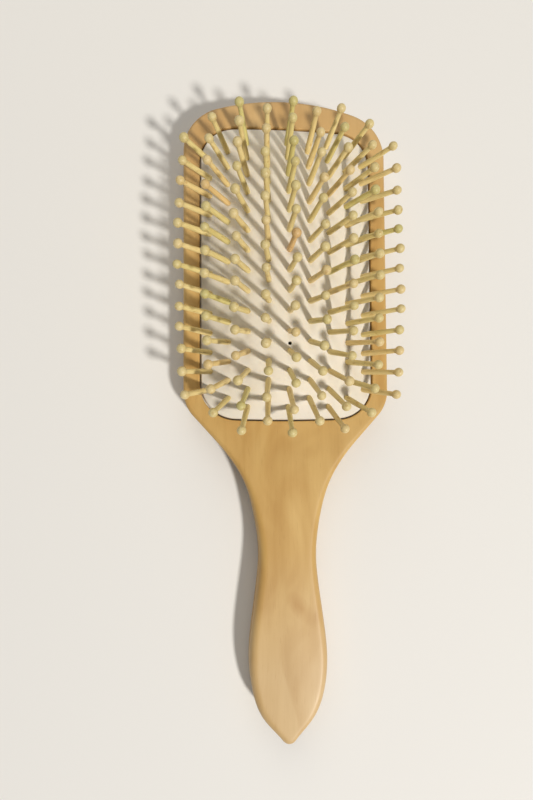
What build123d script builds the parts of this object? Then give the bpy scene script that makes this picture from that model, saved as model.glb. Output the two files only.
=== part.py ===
from build123d import *
from math import cos, radians, sin
import os

# Wooden paddle hair brush lying on its back: +Z up (pins up), +Y towards the head's top, +X to the right.
# The origin is under the middle of the brush, on the surface it rests on. Millimetres.

# Body: one piece of wood, a flat board with a paddle head and a handle that ends in a soft point.
BODY_LENGTH = 247.5
BODY_THICKNESS = 13.0
HEAD_HALF_WIDTH = 39.7
HEAD_TOP_ARC_RADIUS = 91.0
HEAD_CORNER_RADIUS = 18.0
SHOULDER_RADIUS = 14.4
SHOULDER_TURN = 42.0  # degrees from the head's side to the slope that runs in to the neck
SHOULDER_START_Y = 9.6
SHOULDER_SLOPE_LENGTH = 12.5
NECK_HALF_WIDTH = 11.0
NECK_Y = -53.8
HANDLE_HALF_WIDTH = 14.95
HANDLE_WIDEST_Y = -92.5
TIP_RADIUS = 3.2
TIP_SIDE_ANGLE = 39.0  # between the tip's sides and the brush's centre line
FRONT_EDGE_RADIUS = 1.8
BACK_EDGE_RADIUS = 3.0

# Pad: a domed rubber membrane whose skirt and lip sit in a pocket in the head.
PAD_CENTRE_Y = 55.2
PAD_HALF_WIDTH = 32.5
PAD_HALF_LENGTH = 56.4
PAD_CORNER_RADIUS = 13.0
PAD_END_ARCH = 1.2  # how far each end of the outline bows outwards
DOME_RIM_Z = 12.0
DOME_RISE = 10.0
DOME_ZERO_X = 34.5  # where the dome's cross section would come down to the rim plane
DOME_ZERO_Y = 58.0
DOME_SQUARE_SHARE = 0.15  # share of the lengthwise fall that is quadratic; the rest is quartic
MEMBRANE_THICKNESS = 1.8
SKIRT_THICKNESS = 1.2
SKIRT_BOTTOM_Z = 8.8
LIP_REACH = 1.8
LIP_THICKNESS = 1.4
VENT_RADIUS = 0.7
VENT_FROM_PAD_CENTRE = -28.5

# Pocket in the head: straight walls with an undercut groove for the pad's lip.
POCKET_FLOOR_Z = 6.0
POCKET_GAP = 1.0
GROOVE_GAP = 0.3

# Pins: turned wood with a ball tip, a tapered shaft and a flat head under the membrane.
COLUMN_PINS = {"a": 13, "b": 14, "c": 15, "d": 14, "e": 15, "f": 14, "g": 15, "h": 14, "i": 13}
COLUMN_PITCH = 7.85
ROW_PITCH = 7.65
PITCH_CLOSING = 0.055  # how much the plan pitch closes up towards the edges of the dome
OUTERMOST_COLUMN = 4
OUTERMOST_ROW = 7.0
PIN_FIELD_Y = 53.9
LEAN_ACROSS = 0.69  # sideways lean, as a slope, close to the pad's middle
LEAN_ACROSS_SIDE = 0.6  # how much stronger it is at the pad's sides
LEAN_ACROSS_FADE = 0.5  # share of it lost at the pad's ends
LEAN_ALONG = 0.33  # lengthwise lean close to the pad's middle
LEAN_ALONG_END = 0.69  # how much stronger it is at the pad's ends
LEAN_ALONG_FADE = 0.66  # how much weaker it is at the pad's sides
PIN_BALL_RADIUS = 1.7
PIN_BALL_HEIGHT = 15.8
PIN_BASE_RADIUS = 1.12
PIN_NECK_RADIUS = 0.9
PIN_SHANK_RADIUS = 1.0
PIN_HEAD_RADIUS = 1.8
PIN_HEAD_TOP = -2.45
PIN_HEAD_THICKNESS = 1.0
PIN_HOLE_GAP = 0.15
SEGMENTS = ("top", "middle", "bottom")


def dome_height(x, y):
    """Height of the membrane's outer surface, y in the brush's frame."""
    across = x / DOME_ZERO_X
    along = (y - PAD_CENTRE_Y) / DOME_ZERO_Y
    factor_y = 1 - DOME_SQUARE_SHARE * along**2 - (1 - DOME_SQUARE_SHARE) * along**4
    return DOME_RIM_Z + DOME_RISE * (1 - across**2) * factor_y


def dome_face(drop=0.0):
    """The dome as one Bezier patch, exact for its quadratic and quartic factors, lowered by drop."""
    reach_x = PAD_HALF_WIDTH + 3
    reach_y = PAD_HALF_LENGTH + 3
    across = (reach_x / DOME_ZERO_X) ** 2
    along = (reach_y / DOME_ZERO_Y) ** 2
    factors_x = (1 - across, 1 + across, 1 - across)
    square = (1, 0, -1 / 3, 0, 1)
    quartic = (1, -1, 1, -1, 1)
    factors_y = [
        1 - DOME_SQUARE_SHARE * along * s - (1 - DOME_SQUARE_SHARE) * along**2 * q
        for s, q in zip(square, quartic)
    ]
    grid = []
    for column, factor_x in enumerate(factors_x):
        x = reach_x * (column - 1)
        line = []
        for row, factor_y in enumerate(factors_y):
            y = PAD_CENTRE_Y + reach_y * (row - 2) / 2
            line.append((x, y, DOME_RIM_Z - drop + DOME_RISE * factor_x * factor_y))
        grid.append(line)
    return Face.make_bezier_surface(grid)


def pad_outline(grow):
    """The pad's plan outline, grown outwards: a rounded rectangle with slightly bowed ends."""
    half_width = PAD_HALF_WIDTH + grow
    straight_end = PAD_HALF_LENGTH + grow - PAD_END_ARCH
    with BuildSketch() as outline:
        with BuildLine():
            Line((half_width, -straight_end), (half_width, straight_end))
            ThreePointArc(
                (half_width, straight_end), (0, straight_end + PAD_END_ARCH), (-half_width, straight_end)
            )
            Line((-half_width, straight_end), (-half_width, -straight_end))
            ThreePointArc(
                (-half_width, -straight_end), (0, -straight_end - PAD_END_ARCH), (half_width, -straight_end)
            )
        make_face()
        fillet(outline.vertices(), PAD_CORNER_RADIUS + grow)
    return outline.sketch


def pad_plane(height):
    return Plane((0, PAD_CENTRE_Y, height))


def closed_up(steps, outermost, pitch):
    """Distance in plan of a column or row from the middle of the field, steps away from it."""
    return pitch * steps * (1 - PITCH_CLOSING * (steps / outermost) ** 2)


def pin_places(column):
    """Where each pin of one column leaves the membrane, from the head's top down, as planes along the pins."""
    count = COLUMN_PINS[column]
    x = closed_up(list(COLUMN_PINS).index(column) - OUTERMOST_COLUMN, OUTERMOST_COLUMN, COLUMN_PITCH)
    across = x / DOME_ZERO_X
    places = []
    for number in range(count):
        y = PIN_FIELD_Y + closed_up((count - 1) / 2 - number, OUTERMOST_ROW, ROW_PITCH)
        along = (y - PAD_CENTRE_Y) / DOME_ZERO_Y
        lean_x = across * (LEAN_ACROSS + LEAN_ACROSS_SIDE * across**2) * (1 - LEAN_ACROSS_FADE * along**2)
        lean_y = along * (LEAN_ALONG + LEAN_ALONG_END * along**2 - LEAN_ALONG_FADE * across**2)
        places.append(Plane((x, y, dome_height(x, y)), z_dir=(lean_x, lean_y, 1)))
    return places


def column_segments(column):
    """One column's pins as three runs that rock separately: top, middle and bottom of the pad."""
    places = pin_places(column)
    end_count = 4 if len(places) == 13 else 5
    middle_end = len(places) - end_count
    return dict(zip(SEGMENTS, (places[:end_count], places[end_count:middle_end], places[middle_end:])))


def save(piece, name):
    piece.part.label = name
    export_step(piece.part, f"parts/{name}.step")


os.makedirs("parts", exist_ok=True)

# Paddle body
half_length = BODY_LENGTH / 2
corner_centre_x = HEAD_HALF_WIDTH - HEAD_CORNER_RADIUS
top_arc_centre_y = half_length - HEAD_TOP_ARC_RADIUS
centre_distance = HEAD_TOP_ARC_RADIUS - HEAD_CORNER_RADIUS
corner_centre_y = top_arc_centre_y + (centre_distance**2 - corner_centre_x**2) ** 0.5
corner_start = Vector(corner_centre_x, corner_centre_y - top_arc_centre_y).normalized() * HEAD_TOP_ARC_RADIUS
corner_start += Vector(0, top_arc_centre_y)
corner_middle = Vector(corner_centre_x, corner_centre_y) + Vector(
    HEAD_CORNER_RADIUS * cos(radians(35)), HEAD_CORNER_RADIUS * sin(radians(35))
)
slope = Vector(-sin(radians(SHOULDER_TURN)), -cos(radians(SHOULDER_TURN)))

with BuildPart() as paddle_body:
    with BuildSketch():
        with BuildLine():
            RadiusArc((0, half_length), corner_start, HEAD_TOP_ARC_RADIUS)
            ThreePointArc(corner_start, corner_middle, (HEAD_HALF_WIDTH, corner_centre_y))
            Line((HEAD_HALF_WIDTH, corner_centre_y), (HEAD_HALF_WIDTH, SHOULDER_START_Y))
            shoulder = JernArc(
                (HEAD_HALF_WIDTH, SHOULDER_START_Y), (0, -1), SHOULDER_RADIUS, -SHOULDER_TURN
            )
            side_slope = Line(shoulder @ 1, (shoulder @ 1) + slope * SHOULDER_SLOPE_LENGTH)
            tip = CenterArc((0, TIP_RADIUS - half_length), TIP_RADIUS, -90, 90 - TIP_SIDE_ANGLE)
            Spline(
                side_slope @ 1,
                (16.6, -25.5),
                (12.6, -39.2),
                (NECK_HALF_WIDTH, NECK_Y),
                (12.0, -66.0),
                (13.9, -80.0),
                (HANDLE_HALF_WIDTH, HANDLE_WIDEST_Y),
                (13.7, -104.6),
                (10.0, -114.0),
                tip @ 1,
                tangents=(slope, -(tip % 1)),
            )
            mirror(about=Plane.YZ)
        make_face()
    extrude(amount=BODY_THICKNESS)
    fillet(paddle_body.faces().sort_by(Axis.Z)[-1].edges(), FRONT_EDGE_RADIUS)
    fillet(paddle_body.faces().sort_by(Axis.Z)[0].edges(), BACK_EDGE_RADIUS)
    with BuildSketch(pad_plane(POCKET_FLOOR_Z)):
        add(pad_outline(POCKET_GAP))
    extrude(amount=BODY_THICKNESS, mode=Mode.SUBTRACT)
    with BuildSketch(pad_plane(SKIRT_BOTTOM_Z - GROOVE_GAP)):
        add(pad_outline(LIP_REACH + GROOVE_GAP))
    extrude(amount=LIP_THICKNESS + 2 * GROOVE_GAP, mode=Mode.SUBTRACT)
save(paddle_body, "paddle_body")

# Space under the membrane
with BuildPart() as air_chamber:
    with BuildSketch(pad_plane(SKIRT_BOTTOM_Z)):
        add(pad_outline(-SKIRT_THICKNESS))
    extrude(amount=DOME_RISE * 2)
    split(bisect_by=dome_face(MEMBRANE_THICKNESS), keep=Keep.BOTTOM)

# Air cushion
all_places = [place for column in COLUMN_PINS for place in pin_places(column)]
vent_y = PAD_CENTRE_Y + VENT_FROM_PAD_CENTRE

with BuildPart() as air_cushion:
    with BuildSketch(pad_plane(SKIRT_BOTTOM_Z)):
        add(pad_outline(0))
    extrude(amount=DOME_RISE * 2)
    split(bisect_by=dome_face(), keep=Keep.BOTTOM)
    with BuildSketch(pad_plane(SKIRT_BOTTOM_Z)):
        add(pad_outline(LIP_REACH))
    extrude(amount=LIP_THICKNESS)
    add(air_chamber.part, mode=Mode.SUBTRACT)
    with Locations(*all_places):
        Cylinder(PIN_SHANK_RADIUS + PIN_HOLE_GAP, 6 * MEMBRANE_THICKNESS, mode=Mode.SUBTRACT)
    with Locations((0, vent_y, dome_height(0, vent_y))):
        Cylinder(VENT_RADIUS, 4 * MEMBRANE_THICKNESS, mode=Mode.SUBTRACT)
save(air_cushion, "air_cushion")

# One pin, standing on the membrane's outer surface at z = 0
ball_underside = PIN_BALL_HEIGHT - (PIN_BALL_RADIUS**2 - PIN_NECK_RADIUS**2) ** 0.5
head_bottom = PIN_HEAD_TOP - PIN_HEAD_THICKNESS
with BuildPart() as pin:
    with BuildSketch(Plane.XZ):
        with BuildLine():
            Polyline(
                (0, PIN_BALL_HEIGHT + PIN_BALL_RADIUS),
                (0, head_bottom),
                (PIN_HEAD_RADIUS, head_bottom),
                (PIN_HEAD_RADIUS, PIN_HEAD_TOP),
                (PIN_SHANK_RADIUS, PIN_HEAD_TOP),
                (PIN_SHANK_RADIUS, 0),
                (PIN_BASE_RADIUS, PIN_BASE_RADIUS),
                (PIN_NECK_RADIUS, ball_underside),
            )
            ThreePointArc(
                (PIN_NECK_RADIUS, ball_underside),
                (PIN_BALL_RADIUS, PIN_BALL_HEIGHT),
                (0, PIN_BALL_HEIGHT + PIN_BALL_RADIUS),
            )
        make_face()
    revolve(axis=Axis.Z)

# Pins, a node for each third of each column
for column in COLUMN_PINS:
    for segment, places in column_segments(column).items():
        with BuildPart() as pins:
            with Locations(*places):
                add(pin.part)
        save(pins, f"pins_{column}_{segment}")
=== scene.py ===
import math
import random

import bmesh
import bpy
import numpy as np
from mathutils import Matrix, Vector


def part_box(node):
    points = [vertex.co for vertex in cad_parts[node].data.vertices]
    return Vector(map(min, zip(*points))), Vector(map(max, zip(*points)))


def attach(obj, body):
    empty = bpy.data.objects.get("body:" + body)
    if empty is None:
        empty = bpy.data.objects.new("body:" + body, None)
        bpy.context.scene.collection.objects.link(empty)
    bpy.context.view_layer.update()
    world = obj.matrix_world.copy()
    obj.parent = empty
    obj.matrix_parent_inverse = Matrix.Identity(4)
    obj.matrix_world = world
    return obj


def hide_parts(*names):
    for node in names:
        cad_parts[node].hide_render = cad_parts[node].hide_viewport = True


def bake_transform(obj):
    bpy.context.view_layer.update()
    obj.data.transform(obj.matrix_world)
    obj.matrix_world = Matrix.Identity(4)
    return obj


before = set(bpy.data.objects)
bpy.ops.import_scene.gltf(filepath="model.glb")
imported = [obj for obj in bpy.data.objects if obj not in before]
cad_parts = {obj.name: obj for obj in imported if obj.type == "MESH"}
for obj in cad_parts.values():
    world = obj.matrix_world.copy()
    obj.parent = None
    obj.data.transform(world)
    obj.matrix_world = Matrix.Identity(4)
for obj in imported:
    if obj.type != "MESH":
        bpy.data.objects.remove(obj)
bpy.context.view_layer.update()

# Lengths are millimetres, turned into metres with MM; the floor and the lights are placed in metres.
MM = 0.001
rng = random.Random(11)

# The brush's driving sizes, read from the CAD nodes where they show there
wood_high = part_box("paddle_body")[1]
HALF_LENGTH = wood_high.y / MM
THICKNESS = wood_high.z / MM
HEAD_HALF_WIDTH = wood_high.x / MM
HEAD_TOP_RADIUS = 91.0
HEAD_CORNER_RADIUS = 18.0
SHOULDER_RADIUS = 14.4
SHOULDER_TURN = math.radians(42)
SHOULDER_START_Y = 9.6
SHOULDER_SLOPE_LENGTH = 12.5
HANDLE_SIDE = ((16.6, -25.5), (12.6, -39.2), (11.0, -53.8), (12.0, -66.0), (13.9, -80.0), (14.95, -92.5),
               (13.7, -104.6), (10.0, -114.0))
TIP_RADIUS = 3.2
TIP_SIDE_ANGLE = math.radians(39)

PAD_Y = 55.2
PAD_HALF_WIDTH = 32.5
PAD_HALF_LENGTH = 56.4
PAD_CORNER_RADIUS = 13.0
PAD_END_ARCH = 1.2
RIM_Z = 12.0
DOME_RISE = 10.0
DOME_ZERO_X = 34.5
DOME_ZERO_Y = 58.0
SQUARE_SHARE = 0.15
MEMBRANE = 1.8
SKIRT = 1.2
SKIRT_BOTTOM = 8.8
LIP_REACH = 1.8
LIP_THICKNESS = 1.4
POCKET_FLOOR = 6.0
POCKET_GAP = 1.0
GROOVE_GAP = 0.3
VENT_RADIUS = 0.7
VENT_Y = PAD_Y - 28.5

COLUMN_PINS = {"a": 13, "b": 14, "c": 15, "d": 14, "e": 15, "f": 14, "g": 15, "h": 14, "i": 13}
COLUMN_PITCH = 7.85
ROW_PITCH = 7.65
PITCH_CLOSING = 0.055
OUTERMOST_COLUMN = 4
OUTERMOST_ROW = 7.0
PIN_FIELD_Y = 53.9
LEAN_ACROSS = 0.69
LEAN_ACROSS_SIDE = 0.6
LEAN_ACROSS_FADE = 0.5
LEAN_ALONG = 0.33
LEAN_ALONG_END = 0.69
LEAN_ALONG_FADE = 0.66
SEGMENTS = ("top", "middle", "bottom")


# Shapes in plan

def arc(centre, radius, start, end, count):
    """Points on an arc, angles in radians."""
    angles = np.linspace(start, end, count)
    return np.column_stack((centre[0] + radius * np.cos(angles), centre[1] + radius * np.sin(angles)))


def clamped_spline(points, start_direction, end_direction, count):
    """A smooth curve through the points, leaving and arriving in the given directions."""
    points = np.array(points, float)
    chords = np.linalg.norm(np.diff(points, axis=0), axis=1)
    n = len(points)
    matrix = np.zeros((n, n))
    right = np.zeros((n, 2))
    matrix[0, 0] = matrix[-1, -1] = 1
    right[0] = start_direction
    right[-1] = end_direction
    for i in range(1, n - 1):
        before, after = chords[i - 1], chords[i]
        matrix[i, i - 1 : i + 2] = after, 2 * (before + after), before
        right[i] = 3 * (
            after / before * (points[i] - points[i - 1]) + before / after * (points[i + 1] - points[i])
        )
    slopes = np.linalg.solve(matrix, right)
    curve = []
    for i, chord in enumerate(chords):
        t = np.linspace(0, 1, count, endpoint=False)[:, None]
        curve.append(
            (1 + 2 * t) * (1 - t) ** 2 * points[i]
            + t * (1 - t) ** 2 * chord * slopes[i]
            + t**2 * (3 - 2 * t) * points[i + 1]
            + t**2 * (t - 1) * chord * slopes[i + 1]
        )
    return np.vstack([*curve, points[-1:]])


def evenly(points, count):
    """The closed outline through the points, cut into count equal lengths."""
    loop = np.vstack((points, points[:1]))
    keep = np.append(True, np.linalg.norm(np.diff(loop, axis=0), axis=1) > 1e-6)
    loop = loop[keep]
    along = np.append(0, np.cumsum(np.linalg.norm(np.diff(loop, axis=0), axis=1)))
    wanted = np.linspace(0, along[-1], count, endpoint=False)
    return np.column_stack([np.interp(wanted, along, loop[:, axis]) for axis in (0, 1)])


def inward(outline):
    """Unit normals of a closed outline, pointing to its inside."""
    ahead = np.roll(outline, -2, axis=0) - np.roll(outline, 2, axis=0)
    ahead /= np.linalg.norm(ahead, axis=1)[:, None]
    normals = np.column_stack((-ahead[:, 1], ahead[:, 0]))
    area = np.sum(outline[:, 0] * np.roll(outline[:, 1], -1) - np.roll(outline[:, 0], -1) * outline[:, 1])
    return normals if area > 0 else -normals


def paddle_outline(count):
    """The wooden body's outline, anticlockwise."""
    corner_x = HEAD_HALF_WIDTH - HEAD_CORNER_RADIUS
    top_centre_y = HALF_LENGTH - HEAD_TOP_RADIUS
    corner_y = top_centre_y + math.sqrt((HEAD_TOP_RADIUS - HEAD_CORNER_RADIUS) ** 2 - corner_x**2)
    meeting = math.atan2(corner_y - top_centre_y, corner_x)
    shoulder_centre = (HEAD_HALF_WIDTH - SHOULDER_RADIUS, SHOULDER_START_Y)
    shoulder = arc(shoulder_centre, SHOULDER_RADIUS, 0, -SHOULDER_TURN, 40)
    slope = np.array((-math.sin(SHOULDER_TURN), -math.cos(SHOULDER_TURN)))
    slope_end = shoulder[-1] + slope * SHOULDER_SLOPE_LENGTH
    tip_centre = (0, TIP_RADIUS - HALF_LENGTH)
    tip = arc(tip_centre, TIP_RADIUS, -TIP_SIDE_ANGLE, -math.pi / 2, 30)
    tip_direction = np.array((-math.sin(TIP_SIDE_ANGLE), -math.cos(TIP_SIDE_ANGLE)))
    side = np.vstack((
        arc((0, top_centre_y), HEAD_TOP_RADIUS, math.pi / 2, meeting, 60),
        arc((corner_x, corner_y), HEAD_CORNER_RADIUS, meeting, 0, 60),
        shoulder,
        clamped_spline([slope_end, *HANDLE_SIDE, tip[0]], slope, tip_direction, 30),
        tip,
    ))
    left = side[::-1] * (-1, 1)
    return evenly(np.vstack((side, left))[::-1], count)


def pad_outline(grow, count):
    """The pad's plan outline about its own centre, grown outwards, anticlockwise from its right side."""
    half_width = PAD_HALF_WIDTH + grow
    half_length = PAD_HALF_LENGTH + grow
    radius = PAD_CORNER_RADIUS + grow
    end_radius = (half_width**2 + PAD_END_ARCH**2) / (2 * PAD_END_ARCH)
    end_centre_y = half_length - end_radius
    corner_x = half_width - radius
    corner_y = end_centre_y + math.sqrt((end_radius - radius) ** 2 - corner_x**2)
    meeting = math.atan2(corner_y - end_centre_y, corner_x)
    quarter = np.vstack((
        [(half_width, 0.0)],
        arc((corner_x, corner_y), radius, 0, meeting, 50),
        arc((0, end_centre_y), end_radius, meeting, math.pi / 2, 40),
    ))
    upper = np.vstack((quarter, quarter[::-1] * (-1, 1)))
    return evenly(np.vstack((upper, upper[::-1] * (1, -1))), count)


# The dome and the pins' places

def dome_height(x, y):
    """Height of the membrane's outer surface, y in the brush's frame."""
    across = x / DOME_ZERO_X
    along = (y - PAD_Y) / DOME_ZERO_Y
    factor_y = 1 - SQUARE_SHARE * along**2 - (1 - SQUARE_SHARE) * along**4
    return RIM_Z + DOME_RISE * (1 - across**2) * factor_y


def closed_up(steps, outermost, pitch):
    """Distance in plan of a column or row from the middle of the field, steps away from it."""
    return pitch * steps * (1 - PITCH_CLOSING * (steps / outermost) ** 2)


def pin_places(column):
    """(base, direction) of each pin in a column, from the head's top down."""
    count = COLUMN_PINS[column]
    x = closed_up(list(COLUMN_PINS).index(column) - OUTERMOST_COLUMN, OUTERMOST_COLUMN, COLUMN_PITCH)
    across = x / DOME_ZERO_X
    places = []
    for number in range(count):
        y = PIN_FIELD_Y + closed_up((count - 1) / 2 - number, OUTERMOST_ROW, ROW_PITCH)
        along = (y - PAD_Y) / DOME_ZERO_Y
        lean_x = across * (LEAN_ACROSS + LEAN_ACROSS_SIDE * across**2) * (1 - LEAN_ACROSS_FADE * along**2)
        lean_y = along * (LEAN_ALONG + LEAN_ALONG_END * along**2 - LEAN_ALONG_FADE * across**2)
        places.append((Vector((x, y, dome_height(x, y))), Vector((lean_x, lean_y, 1)).normalized()))
    return places


def column_segments(column):
    """A column's pins as the three runs that the CAD nodes hold."""
    places = pin_places(column)
    end_count = 4 if len(places) == 13 else 5
    middle_end = len(places) - end_count
    return dict(zip(SEGMENTS, (places[:end_count], places[end_count:middle_end], places[middle_end:])))


# Mesh helpers

def new_piece(name, points, faces, material, smooth_angle=35):
    """A mesh object from points in millimetres, smooth-shaded but for edges sharper than smooth_angle."""
    mesh = bpy.data.meshes.new(name)
    mesh.from_pydata((np.asarray(points, float) * MM).tolist(), [], [list(face) for face in faces])
    mesh.validate()
    mesh.update()
    mesh.shade_smooth()
    mesh.set_sharp_from_angle(angle=math.radians(smooth_angle))
    mesh.materials.append(material)
    piece = bpy.data.objects.new(name, mesh)
    bpy.context.scene.collection.objects.link(piece)
    return piece


def strip_faces(first, second, count):
    """Quads between two closed rings of count points that start at indices first and second."""
    return [
        (first + i, first + (i + 1) % count, second + (i + 1) % count, second + i) for i in range(count)
    ]


def fillet_rings(outline, normals, radius, flat_z, direction, steps):
    """Rings over a rounded edge, from the flat face at flat_z out to the outline. direction is +1 for a
    face that looks up and -1 for one that looks down. radius may differ from point to point."""
    rings = []
    for angle in np.linspace(0, math.pi / 2, steps + 1):
        inset = radius * (1 - math.sin(angle))
        plan = outline + normals * inset[:, None]
        height = flat_z - direction * radius * (1 - math.cos(angle))
        rings.append(np.column_stack((plan, height)))
    return rings


# Materials

def node_material(name):
    material = bpy.data.materials.new(name)
    material.use_nodes = True
    tree = material.node_tree
    shader = tree.nodes["Principled BSDF"]
    return material, tree, shader


def add_node(tree, kind, **settings):
    node = tree.nodes.new(kind)
    for key, value in settings.items():
        if key in ("operation", "attribute_name"):
            setattr(node, key, value)
        else:
            node.inputs[key].default_value = value
    return node


def noise(tree, coordinates, stretch, scale, detail=3.0, roughness=0.5, distortion=0.0, turn=0.0):
    """Noise over coordinates turned about Z and multiplied by stretch; scale is in cells a metre."""
    mapping = add_node(tree, "ShaderNodeMapping", Scale=stretch, Rotation=(0, 0, turn))
    texture = add_node(
        tree, "ShaderNodeTexNoise", Scale=scale, Detail=detail, Roughness=roughness, Distortion=distortion
    )
    tree.links.new(coordinates, mapping.inputs["Vector"])
    tree.links.new(mapping.outputs["Vector"], texture.inputs["Vector"])
    return texture.outputs["Fac"]


def ramp(tree, factor, stops):
    """A colour ramp with stops of (position, colour)."""
    node = tree.nodes.new("ShaderNodeValToRGB")
    elements = node.color_ramp.elements
    while len(elements) < len(stops):
        elements.new(0.5)
    for element, (position, colour) in zip(elements, stops):
        element.position = position
        element.color = (*colour, 1)
    tree.links.new(factor, node.inputs["Fac"])
    return node.outputs["Color"]


def mix(tree, factor, first, second, blend_type="MIX"):
    node = tree.nodes.new("ShaderNodeMix")
    node.data_type = "RGBA"
    node.blend_type = blend_type
    for value, socket in ((factor, node.inputs[0]), (first, node.inputs[6]), (second, node.inputs[7])):
        if isinstance(value, bpy.types.NodeSocket):
            tree.links.new(value, socket)
        else:
            socket.default_value = value if isinstance(value, float) else (*value, 1)
    return node.outputs[2]


def math_node(tree, operation, first, second=0.0):
    node = add_node(tree, "ShaderNodeMath", operation=operation)
    for value, socket in ((first, node.inputs[0]), (second, node.inputs[1])):
        if isinstance(value, bpy.types.NodeSocket):
            tree.links.new(value, socket)
        else:
            socket.default_value = value
    return node.outputs[0]


def bump(tree, shader, height, distance, strength=1.0):
    node = add_node(tree, "ShaderNodeBump", Strength=strength, Distance=distance)
    tree.links.new(height, node.inputs["Height"])
    tree.links.new(node.outputs["Normal"], shader.inputs["Normal"])


def stretch_to(tree, value, low, high):
    node = add_node(tree, "ShaderNodeMapRange")
    node.inputs["To Min"].default_value = low
    node.inputs["To Max"].default_value = high
    tree.links.new(value, node.inputs["Value"])
    return node.outputs["Result"]


def body_wood_material():
    """Pale fine-grained hardwood, sawn along Y: golden head, paler handle, soft bands, fine fibres."""
    material, tree, shader = node_material("body_wood")
    place = tree.nodes.new("ShaderNodeTexCoord").outputs["Object"]
    bands = noise(tree, place, (1.0, 0.05, 1.0), 70.0, detail=2.0, roughness=0.4, distortion=0.6)
    fibres = noise(tree, place, (1.0, 0.05, 1.0), 800.0, detail=4.0, roughness=0.6, distortion=0.5)
    flecks = noise(tree, place, (1.0, 0.10, 1.0), 1900.0, detail=1.0)
    clouds = noise(tree, place, (1.0, 0.40, 1.0), 40.0, detail=3.0, roughness=0.55)
    figure = noise(tree, place, (1.0, 0.35, 1.0), 60.0, detail=2.5, distortion=1.0, turn=math.radians(-40))

    # the board is golden at the head, pales down the handle and dulls a little towards the head's top
    axes = tree.nodes.new("ShaderNodeSeparateXYZ")
    tree.links.new(place, axes.inputs[0])
    headward = add_node(tree, "ShaderNodeMapRange", **{"From Min": -98 * MM, "From Max": -52 * MM})
    tree.links.new(axes.outputs["Y"], headward.inputs["Value"])
    head_tone = ramp(tree, bands, (
        (0.25, (0.582, 0.363, 0.116)), (0.45, (0.630, 0.406, 0.139)), (0.60, (0.666, 0.440, 0.160)),
        (0.80, (0.697, 0.475, 0.185)),
    ))
    handle_tone = ramp(tree, bands, (
        (0.25, (0.590, 0.405, 0.188)), (0.45, (0.640, 0.450, 0.222)), (0.60, (0.680, 0.487, 0.255)),
        (0.80, (0.710, 0.520, 0.290)),
    ))
    colour = mix(tree, headward.outputs["Result"], handle_tone, head_tone)
    topward = add_node(tree, "ShaderNodeMapRange", **{"From Min": 50 * MM, "From Max": 120 * MM})
    tree.links.new(axes.outputs["Y"], topward.inputs["Value"])
    colour = mix(tree, topward.outputs["Result"], colour, (0.625, 0.415, 0.180))
    fibre_tone = ramp(tree, fibres, ((0.30, (0.93, 0.90, 0.85)), (0.55, (1.0, 1.0, 1.0))))
    colour = mix(tree, 0.5, colour, fibre_tone, "MULTIPLY")
    figure_tone = ramp(tree, figure, ((0.36, (0.86, 0.79, 0.68)), (0.56, (1.0, 1.0, 1.0))))
    colour = mix(tree, 0.85, colour, figure_tone, "MULTIPLY")
    cloud_tone = ramp(tree, clouds, ((0.30, (0.88, 0.82, 0.72)), (0.60, (1.0, 1.0, 1.0))))
    colour = mix(tree, 0.6, colour, cloud_tone, "MULTIPLY")
    fleck_tone = ramp(tree, flecks, ((0.24, (0.74, 0.64, 0.50)), (0.36, (1.0, 1.0, 1.0))))
    colour = mix(tree, 0.25, colour, fleck_tone, "MULTIPLY")

    # a faint darker mineral streak that runs obliquely across the handle
    streak_centre = add_node(tree, "ShaderNodeVectorMath", operation="SUBTRACT")
    streak_centre.inputs[1].default_value = (4.5 * MM, -73.0 * MM, THICKNESS * MM)
    streak_turn = tree.nodes.new("ShaderNodeVectorRotate")
    streak_turn.rotation_type = "Z_AXIS"
    streak_turn.inputs["Angle"].default_value = math.radians(47)
    streak_scale = add_node(tree, "ShaderNodeVectorMath", operation="MULTIPLY")
    streak_scale.inputs[1].default_value = (1 / (14.0 * MM), 1 / (6.5 * MM), 1 / (6.0 * MM))
    streak_length = add_node(tree, "ShaderNodeVectorMath", operation="LENGTH")
    tree.links.new(place, streak_centre.inputs[0])
    tree.links.new(streak_centre.outputs[0], streak_turn.inputs["Vector"])
    tree.links.new(streak_turn.outputs["Vector"], streak_scale.inputs[0])
    tree.links.new(streak_scale.outputs[0], streak_length.inputs[0])
    wobble = math_node(tree, "MULTIPLY", figure, 0.9)
    reach = math_node(tree, "ADD", streak_length.outputs["Value"], wobble)
    streak_tone = ramp(tree, reach, ((0.45, (0.84, 0.75, 0.62)), (1.15, (1.0, 1.0, 1.0))))
    colour = mix(tree, 1.0, colour, streak_tone, "MULTIPLY")

    tree.links.new(colour, shader.inputs["Base Color"])
    tree.links.new(stretch_to(tree, fibres, 0.38, 0.52), shader.inputs["Roughness"])
    shader.inputs["Specular IOR Level"].default_value = 0.42
    fibre_height = math_node(tree, "MULTIPLY", fibres, 0.7)
    fleck_height = math_node(tree, "MULTIPLY", flecks, 0.5)
    bump(tree, shader, math_node(tree, "ADD", fibre_height, fleck_height), 0.04 * MM, 0.5)
    return material


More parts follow.
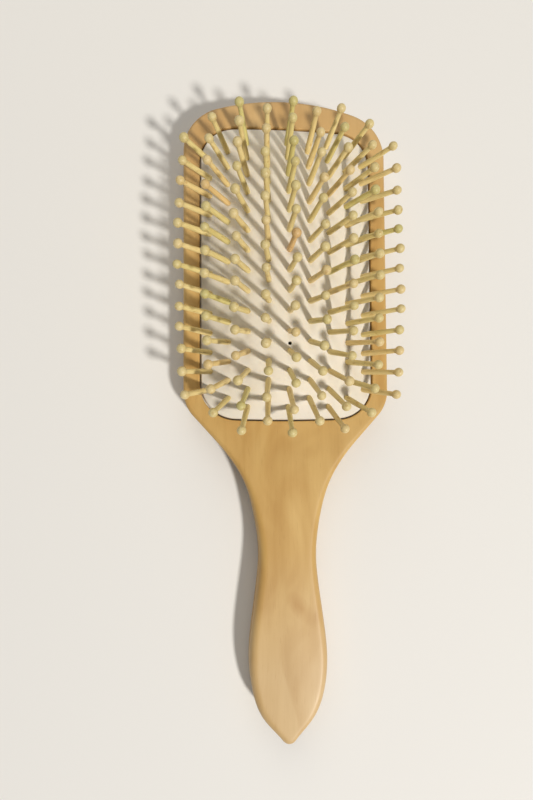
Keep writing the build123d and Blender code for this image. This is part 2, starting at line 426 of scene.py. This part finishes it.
def rubber_material():
    """Cream moulded rubber: almost matt, very fine grain, slightly uneven tone."""
    material, tree, shader = node_material("pad_rubber")
    place = tree.nodes.new("ShaderNodeTexCoord").outputs["Object"]
    tone = noise(tree, place, (1.0, 1.0, 1.0), 55.0, detail=3.0)
    grain = noise(tree, place, (1.0, 1.0, 1.0), 3200.0, detail=2.0, roughness=0.6)
    speck = noise(tree, place, (1.0, 1.0, 1.0), 700.0, detail=2.0)
    colour = ramp(tree, tone, ((0.3, (0.765, 0.705, 0.595)), (0.7, (0.805, 0.755, 0.665))))
    speck_tone = ramp(tree, speck, ((0.25, (0.95, 0.93, 0.90)), (0.45, (1.0, 1.0, 1.0))))
    colour = mix(tree, 0.5, colour, speck_tone, "MULTIPLY")
    tree.links.new(colour, shader.inputs["Base Color"])
    tree.links.new(stretch_to(tree, grain, 0.50, 0.66), shader.inputs["Roughness"])
    shader.inputs["Specular IOR Level"].default_value = 0.35
    shader.inputs["Subsurface Weight"].default_value = 0.12
    shader.inputs["Subsurface Radius"].default_value = (1.0, 0.8, 0.55)
    shader.inputs["Subsurface Scale"].default_value = 1.2 * MM
    bump(tree, shader, grain, 0.03 * MM, 0.5)
    return material


def pin_wood_material():
    """Turned pale wood with fibres along each pin, toned from greenish straw to warm orange; the balls
    carry a little painted shade, multiplied darker so they read less bright where they face the light.
    """
    material, tree, shader = node_material("pin_wood")
    tone = add_node(tree, "ShaderNodeAttribute", attribute_name="pin_tone")
    along = add_node(tree, "ShaderNodeAttribute", attribute_name="pin_place")
    fibres = noise(tree, along.outputs["Vector"], (1.0, 1.0, 0.07), 2600.0, detail=3.0, roughness=0.6)
    patches = noise(tree, along.outputs["Vector"], (1.0, 1.0, 0.35), 420.0, detail=2.0)
    colour = ramp(tree, tone.outputs["Fac"], (
        (0.0, (0.67, 0.60, 0.24)), (0.25, (0.76, 0.64, 0.29)), (0.55, (0.80, 0.66, 0.325)),
        (0.80, (0.81, 0.62, 0.29)), (1.0, (0.76, 0.51, 0.22)),
    ))
    # painted shade: the ball tips are multiplied a little darker, standing in for the light they catch
    # from the key lamp
    tip = add_node(tree, "ShaderNodeAttribute", attribute_name="ball_painted_shade")
    colour = mix(tree, tip.outputs["Fac"], colour, (0.91, 0.91, 0.97), "MULTIPLY")
    fibre_tone = ramp(tree, fibres, ((0.28, (0.80, 0.74, 0.62)), (0.55, (1.0, 1.0, 1.0))))
    colour = mix(tree, 0.7, colour, fibre_tone, "MULTIPLY")
    patch_tone = ramp(tree, patches, ((0.30, (0.88, 0.84, 0.70)), (0.65, (1.0, 1.0, 1.0))))
    colour = mix(tree, 0.7, colour, patch_tone, "MULTIPLY")
    specks = noise(tree, along.outputs["Vector"], (1.0, 1.0, 0.6), 700.0, detail=0.0)
    speck_tone = ramp(tree, specks, ((0.20, (0.62, 0.42, 0.22)), (0.27, (1.0, 1.0, 1.0))))
    colour = mix(tree, 0.4, colour, speck_tone, "MULTIPLY")
    tree.links.new(colour, shader.inputs["Base Color"])
    tree.links.new(stretch_to(tree, fibres, 0.34, 0.50), shader.inputs["Roughness"])
    shader.inputs["Specular IOR Level"].default_value = 0.45
    bump(tree, shader, fibres, 0.04 * MM, 0.5)
    return material


# Paddle body

def edge_radii(y):
    """Front and back edge rounding at each outline point: crisp on the head, fuller on the handle."""
    head_end, handle_start = 10.0, -45.0
    tip_start, tip_end = -112.0, -125.0
    handle = np.clip((head_end - y) / (head_end - handle_start), 0, 1)
    handle = handle * handle * (3 - 2 * handle)
    tip = np.clip((tip_start - y) / (tip_start - tip_end), 0, 1)
    front = 1.5 + 1.4 * handle - 0.9 * tip
    back = 3.0 + 1.2 * handle - 1.6 * tip
    return front, back


def make_paddle(material):
    """The wooden body as rings: pocket floor, walls and groove, mouth, front face, side, back face."""
    count = 900
    outline = paddle_outline(count)
    normals = inward(outline)
    front, back = edge_radii(outline[:, 1])
    steps = 9
    flat_margin = 0.8
    outer = fillet_rings(outline, normals, front, THICKNESS, 1, steps)
    outer += fillet_rings(outline, normals, back, 0.0, -1, steps)[::-1]
    support = outer[0].copy()
    support[:, :2] += normals * flat_margin
    outer.insert(0, support)
    support = outer[-1].copy()
    support[:, :2] += normals * flat_margin
    outer.append(support)

    pocket_count = 480
    mouth = 0.3
    mouth_margin = 0.5
    groove_low = SKIRT_BOTTOM - GROOVE_GAP
    groove_high = SKIRT_BOTTOM + LIP_THICKNESS + GROOVE_GAP
    groove_reach = LIP_REACH + GROOVE_GAP
    profile = [(POCKET_GAP + mouth + mouth_margin, THICKNESS)]
    for angle in np.linspace(0, math.pi / 2, 5):
        reach = POCKET_GAP + mouth * (1 - math.sin(angle))
        profile.append((reach, THICKNESS - mouth * (1 - math.cos(angle))))
    floor_edge = 0.8
    floor_bend = 0.25
    profile += [
        (POCKET_GAP, groove_high), (groove_reach, groove_high), (groove_reach, groove_low),
        (POCKET_GAP, groove_low), (POCKET_GAP, POCKET_FLOOR + floor_edge),
        (POCKET_GAP - floor_bend, POCKET_FLOOR + floor_bend), (POCKET_GAP - floor_edge, POCKET_FLOOR),
    ]
    pocket = []
    for grow, height in profile:
        plan = pad_outline(grow, pocket_count) + (0, PAD_Y)
        pocket.append(np.column_stack((plan, np.full(pocket_count, height))))

    points = np.vstack(outer + pocket)
    faces = []
    for ring in range(len(outer) - 1):
        faces += [face[::-1] for face in strip_faces(ring * count, (ring + 1) * count, count)]
    pocket_start = len(outer) * count
    for ring in range(len(pocket) - 1):
        first = pocket_start + ring * pocket_count
        faces += strip_faces(first, first + pocket_count, pocket_count)
    last = pocket_start + (len(pocket) - 1) * pocket_count
    faces.append(list(range(last, last + pocket_count)))
    back_start = (len(outer) - 1) * count
    faces.append(list(range(back_start, back_start + count))[::-1])

    paddle = new_piece("paddle_wood", points, faces, material)
    work = bmesh.new()
    work.from_mesh(paddle.data)
    work.verts.ensure_lookup_table()
    rims = [
        work.edges.get((work.verts[start + i], work.verts[start + (i + 1) % size]))
        for start, size in ((0, count), (pocket_start, pocket_count))
        for i in range(size)
    ]
    filled = bmesh.ops.triangle_fill(work, edges=rims, use_beauty=True, normal=(0, 0, 1))
    flats = [item for item in filled["geom"] if isinstance(item, bmesh.types.BMFace)]
    for face in flats:
        if face.normal.z < 0:
            face.normal_flip()
        face.smooth = True
    bmesh.ops.recalc_face_normals(work, faces=work.faces)
    work.to_mesh(paddle.data)
    work.free()
    paddle.data.shade_smooth()
    paddle.data.set_sharp_from_angle(angle=math.radians(35))
    return paddle


# Air cushion

def ripple(x, y):
    """The small unevenness of a moulded sheet held at many points, in millimetres."""
    return 0.10 * np.sin(x * 0.41 + 1.3) * np.sin(y * 0.33 + 0.4) + 0.06 * np.sin(x * 0.9 + y * 0.7)


def membrane_height(x, y, edge_distance, pins):
    """Outer surface: the dome, dimpled where the rubber grips each pin and rounded over at its edge."""
    dimple_depth = 0.34
    dimple_radius = 1.9
    calm_margin = 8.0
    height = dome_height(x, y) + ripple(x, y) * np.clip(edge_distance / calm_margin, 0, 1)
    for base, _ in pins:
        distance_squared = (x - base.x) ** 2 + (y - base.y) ** 2
        height -= dimple_depth * np.exp(-distance_squared / dimple_radius**2)
    rounding = 0.55
    inset = np.clip(rounding - edge_distance, 0, rounding)
    return height - (rounding - np.sqrt(rounding**2 - inset**2))


def cut_vent(piece):
    """The round air hole through the membrane."""
    work = bmesh.new()
    centre = Vector((0, VENT_Y, dome_height(0, VENT_Y))) * MM
    bmesh.ops.create_cone(
        work, cap_ends=True, segments=40, radius1=VENT_RADIUS * MM, radius2=VENT_RADIUS * MM,
        depth=4 * MEMBRANE * MM, matrix=Matrix.Translation(centre),
    )
    drill_mesh = bpy.data.meshes.new("vent_drill")
    work.to_mesh(drill_mesh)
    work.free()
    drill = bpy.data.objects.new("vent_drill", drill_mesh)
    bpy.context.scene.collection.objects.link(drill)
    cut = piece.modifiers.new("vent", "BOOLEAN")
    cut.operation = "DIFFERENCE"
    cut.solver = "MANIFOLD"
    cut.object = drill
    evaluated = piece.evaluated_get(bpy.context.evaluated_depsgraph_get())
    drilled = bpy.data.meshes.new_from_object(evaluated)
    piece.modifiers.clear()
    piece.data = drilled
    bpy.data.objects.remove(drill)


def make_cushion(material, pins):
    """One closed rubber skin: domed outer surface, skirt, lip, inner walls and underside."""
    count = 720
    bulge = 0.45  # how far the soft edge swells past the moulded outline
    outline = pad_outline(bulge, count)
    reach = np.linalg.norm(outline, axis=1)
    # rings from the middle outwards, as shares of the outline, closest together at the rounded edge
    shares = np.concatenate((np.linspace(0.004, 0.965, 130), np.linspace(0.97, 1.0, 16)))
    inner = pad_outline(-SKIRT, count)
    lip = pad_outline(LIP_REACH, count)
    rings = []
    for share in shares:
        x, y = (outline * share).T
        edge_distance = (1 - share) * reach * 0.8
        z = membrane_height(x, y + PAD_Y, edge_distance, pins)
        rings.append(np.column_stack((x, y + PAD_Y, z)))

    def flat_ring(plan, height):
        return np.column_stack((plan + (0, PAD_Y), np.full(count, height)))

    lip_top = SKIRT_BOTTOM + LIP_THICKNESS
    corner = 0.2
    foot = outline + inward(outline) * -corner
    rings += [flat_ring(outline, lip_top + corner), flat_ring(foot, lip_top)]
    rings += [flat_ring(lip, lip_top), flat_ring(lip, SKIRT_BOTTOM), flat_ring(inner, SKIRT_BOTTOM)]
    for share in shares[::-3]:
        x, y = (inner * share).T
        z = dome_height(x, y + PAD_Y) - MEMBRANE
        rings.append(np.column_stack((x, y + PAD_Y, z)))
    points = np.vstack(rings)
    faces = []
    for ring in range(len(rings) - 1):
        faces += [face[::-1] for face in strip_faces(ring * count, (ring + 1) * count, count)]
    faces.append(list(range(count)))
    last = (len(rings) - 1) * count
    faces.append(list(range(last, last + count))[::-1])
    piece = new_piece("rubber_cushion", points, faces, material, smooth_angle=50)
    cut_vent(piece)
    return piece


# Pins

def pin_profile():
    """(height along the pin, radius) from the head inside the chamber to the ball's top."""
    head_radius, head_top, head_bottom = 1.8, -2.75, -3.55
    shank_radius, base_radius, neck_radius = 1.0, 1.12, 0.9
    ball_centre, ball_radius = 15.8, 1.7
    shaft_start, shaft_end = 1.3, 13.7
    soften = 0.15
    head = [
        (head_bottom, 0.0), (head_bottom, head_radius - soften), (head_bottom + soften, head_radius),
        (head_top - soften, head_radius), (head_top, head_radius - soften),
        (head_top, shank_radius + soften),
    ]
    flare = (0.6, 0.5 * (shank_radius + base_radius))
    shank = [(head_top + soften, shank_radius), (0.0, shank_radius), flare]
    taper = (neck_radius - base_radius) / (shaft_end - shaft_start)
    shaft = [
        (height, base_radius + taper * (height - shaft_start))
        for height in np.linspace(shaft_start, shaft_end, 11)
    ]
    cove_start = math.asin(neck_radius / ball_radius) + math.radians(9)
    cove_height = ball_centre - ball_radius * math.cos(cove_start)
    cove = [(shaft_end + 0.35, neck_radius + 0.02), (cove_height - 0.18, neck_radius + 0.08)]
    ball = [
        (ball_centre - ball_radius * math.cos(angle), ball_radius * math.sin(angle))
        for angle in np.linspace(cove_start, math.pi, 15)
    ]
    return head + shank + shaft + cove + ball


def make_pins(name, places, material):
    """The pins of one CAD node, each a little different in length, thickness, lean and tone."""
    profile = pin_profile()
    sectors = 28
    membrane_top, ball_start, tip_start, tip_fade = 0.5, 14.3, 13.0, 1.6
    lean_spread = 0.016
    points, faces, tones, ball_shade_weights, local = [], [], [], [], []
    for base, direction in places:
        lengthen = 1 + rng.uniform(-0.022, 0.018)
        thicken = 1 + rng.uniform(-0.05, 0.04)
        ball_growth = 1 + rng.uniform(-0.06, 0.05)
        tone = min(1.0, max(0.0, rng.gauss(0.45, 0.20)))
        tilt = Vector((rng.gauss(0, lean_spread), rng.gauss(0, lean_spread), 0))
        axis = (direction + tilt).normalized()
        side = axis.cross(Vector((0, 1, 0))).normalized()
        other = axis.cross(side)
        offset = np.array((rng.uniform(0, 1), rng.uniform(0, 1), rng.uniform(0, 1)))
        start = len(points)
        for height, radius in profile:
            above = height > membrane_top
            stretched = height * lengthen if above else height
            # weight of the painted shade on the balls, fading in from tip_start along the pin
            ball_shade_weights += [min(1.0, max(0.0, (height - tip_start) / tip_fade))] * sectors
            swell = ball_growth if height > ball_start else thicken if above else 1.0
            for sector in range(sectors):
                angle = 2 * math.pi * sector / sectors
                around = side * math.cos(angle) + other * math.sin(angle)
                points.append(base + axis * stretched + around * radius * swell)
                local.append(
                    np.array((math.cos(angle) * radius, math.sin(angle) * radius, height)) * MM + offset
                )
        for ring in range(len(profile) - 1):
            faces += strip_faces(start + ring * sectors, start + (ring + 1) * sectors, sectors)
        tones += [tone] * (len(profile) * sectors)
    piece = new_piece(name, [list(p) for p in points], faces, material, smooth_angle=40)
    tone_layer = piece.data.attributes.new("pin_tone", "FLOAT", "POINT")
    tone_layer.data.foreach_set("value", np.array(tones, np.float32))
    # the painted shade weights go to the material as a point attribute
    ball_shade_layer = piece.data.attributes.new("ball_painted_shade", "FLOAT", "POINT")
    ball_shade_layer.data.foreach_set("value", np.array(ball_shade_weights, np.float32))
    place_layer = piece.data.attributes.new("pin_place", "FLOAT_VECTOR", "POINT")
    place_layer.data.foreach_set("vector", np.array(local, np.float32).ravel())
    work = bmesh.new()
    work.from_mesh(piece.data)
    bmesh.ops.remove_doubles(work, verts=work.verts, dist=0.002 * MM)
    bmesh.ops.recalc_face_normals(work, faces=work.faces)
    work.to_mesh(piece.data)
    work.free()
    return piece


body_wood = body_wood_material()
rubber = rubber_material()
pin_wood = pin_wood_material()
all_pins = [place for column in COLUMN_PINS for place in pin_places(column)]

paddle = make_paddle(body_wood)
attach(paddle, "paddle")
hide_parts("paddle_body")

cushion = make_cushion(rubber, all_pins)
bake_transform(cushion)
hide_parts("air_cushion")

for column in COLUMN_PINS:
    for segment, places in column_segments(column).items():
        node = f"pins_{column}_{segment}"
        piece = make_pins(f"turned_{node}", places, pin_wood)
        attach(piece, node)
        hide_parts(node)


# Stage, light and camera

def floor_material():
    material, _, shader = node_material("floor")
    shader.inputs["Base Color"].default_value = (0.80, 0.79, 0.77, 1)
    shader.inputs["Roughness"].default_value = 0.9
    return material


half_floor = 3.0
floor_z = -0.0002
floor_mesh = bpy.data.meshes.new("floor")
floor_mesh.from_pydata(
    [(x, y, floor_z) for x, y in ((-half_floor, -half_floor), (half_floor, -half_floor),
                                  (half_floor, half_floor), (-half_floor, half_floor))],
    [], [(0, 1, 2, 3)],
)
floor_mesh.materials.append(floor_material())
floor = bpy.data.objects.new("floor", floor_mesh)
bpy.context.scene.collection.objects.link(floor)


def area_light(name, position, target, size, power, colour):
    light = bpy.data.lights.new(name, "AREA")
    light.shape = "DISK"
    light.size = size
    light.energy = power
    light.color = colour
    holder = bpy.data.objects.new(name, light)
    holder.location = position
    holder.rotation_euler = (Vector(target) - Vector(position)).to_track_quat("-Z", "Y").to_euler()
    bpy.context.scene.collection.objects.link(holder)


pad_centre = (0, PAD_Y * MM, 0.02)
area_light("key", (0.75, -0.97, 1.45), pad_centre, 0.20, 30.0, (1.0, 0.96, 0.90))
area_light("fill", (-0.15, 0.75, 0.7), pad_centre, 0.9, 3.5, (1.0, 0.93, 0.80))

world = bpy.data.worlds.new("studio")
world.use_nodes = True
world.node_tree.nodes["Background"].inputs["Color"].default_value = (0.95, 0.97, 1.0, 1)
world.node_tree.nodes["Background"].inputs["Strength"].default_value = 0.21
bpy.context.scene.world = world
bpy.context.scene.view_settings.view_transform = "Standard"

camera_data = bpy.data.cameras.new("camera")
camera_data.sensor_width = 36.0
camera_data.lens = 23.94
camera = bpy.data.objects.new("camera", camera_data)
camera.location = (-27.3 * MM, -2.5 * MM, 215.4 * MM)
camera.rotation_mode = "QUATERNION"
turn = (
    Matrix.Rotation(math.radians(-5.41), 3, "Y")
    @ Matrix.Rotation(math.radians(2.38), 3, "X")
    @ Matrix.Rotation(math.radians(-0.34), 3, "Z")
)
camera.rotation_quaternion = turn.to_quaternion()
bpy.context.scene.collection.objects.link(camera)
bpy.context.scene.camera = camera
